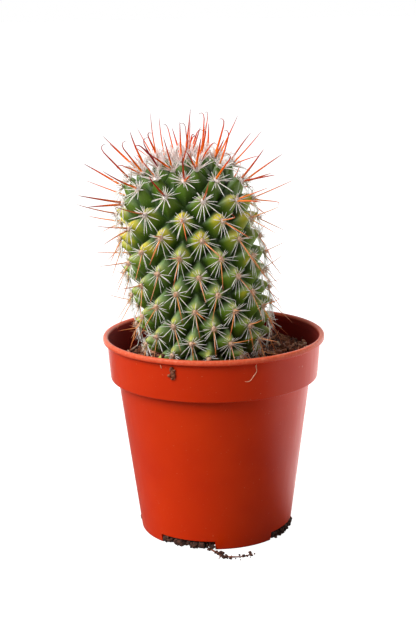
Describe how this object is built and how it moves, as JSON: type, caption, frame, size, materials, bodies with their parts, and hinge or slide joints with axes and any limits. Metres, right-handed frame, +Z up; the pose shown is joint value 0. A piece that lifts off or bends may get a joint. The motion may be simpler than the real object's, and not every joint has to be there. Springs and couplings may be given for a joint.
{
  "type": "potted nipple cactus",
  "caption": "Short domed cactus with spiral tubercles, white radial spines and long red central spines, rooted in soil in a tapered orange plastic nursery pot.",
  "frame": {"origin": "centre of the pot's flat underside", "axes": "+Z up along the pot's axis, -Y towards the front, from which the plant leans a little to the left"},
  "size_m": [0.0599, 0.0584, 0.1058],
  "materials": {
    "pot_plastic": "satin",
    "soil": "matte",
    "cactus_flesh": "satin"
  },
  "bodies": {
    "root": {"pot": "pot_plastic", "soil": "soil", "cactus": "cactus_flesh"}
  },
  "joints": []
}
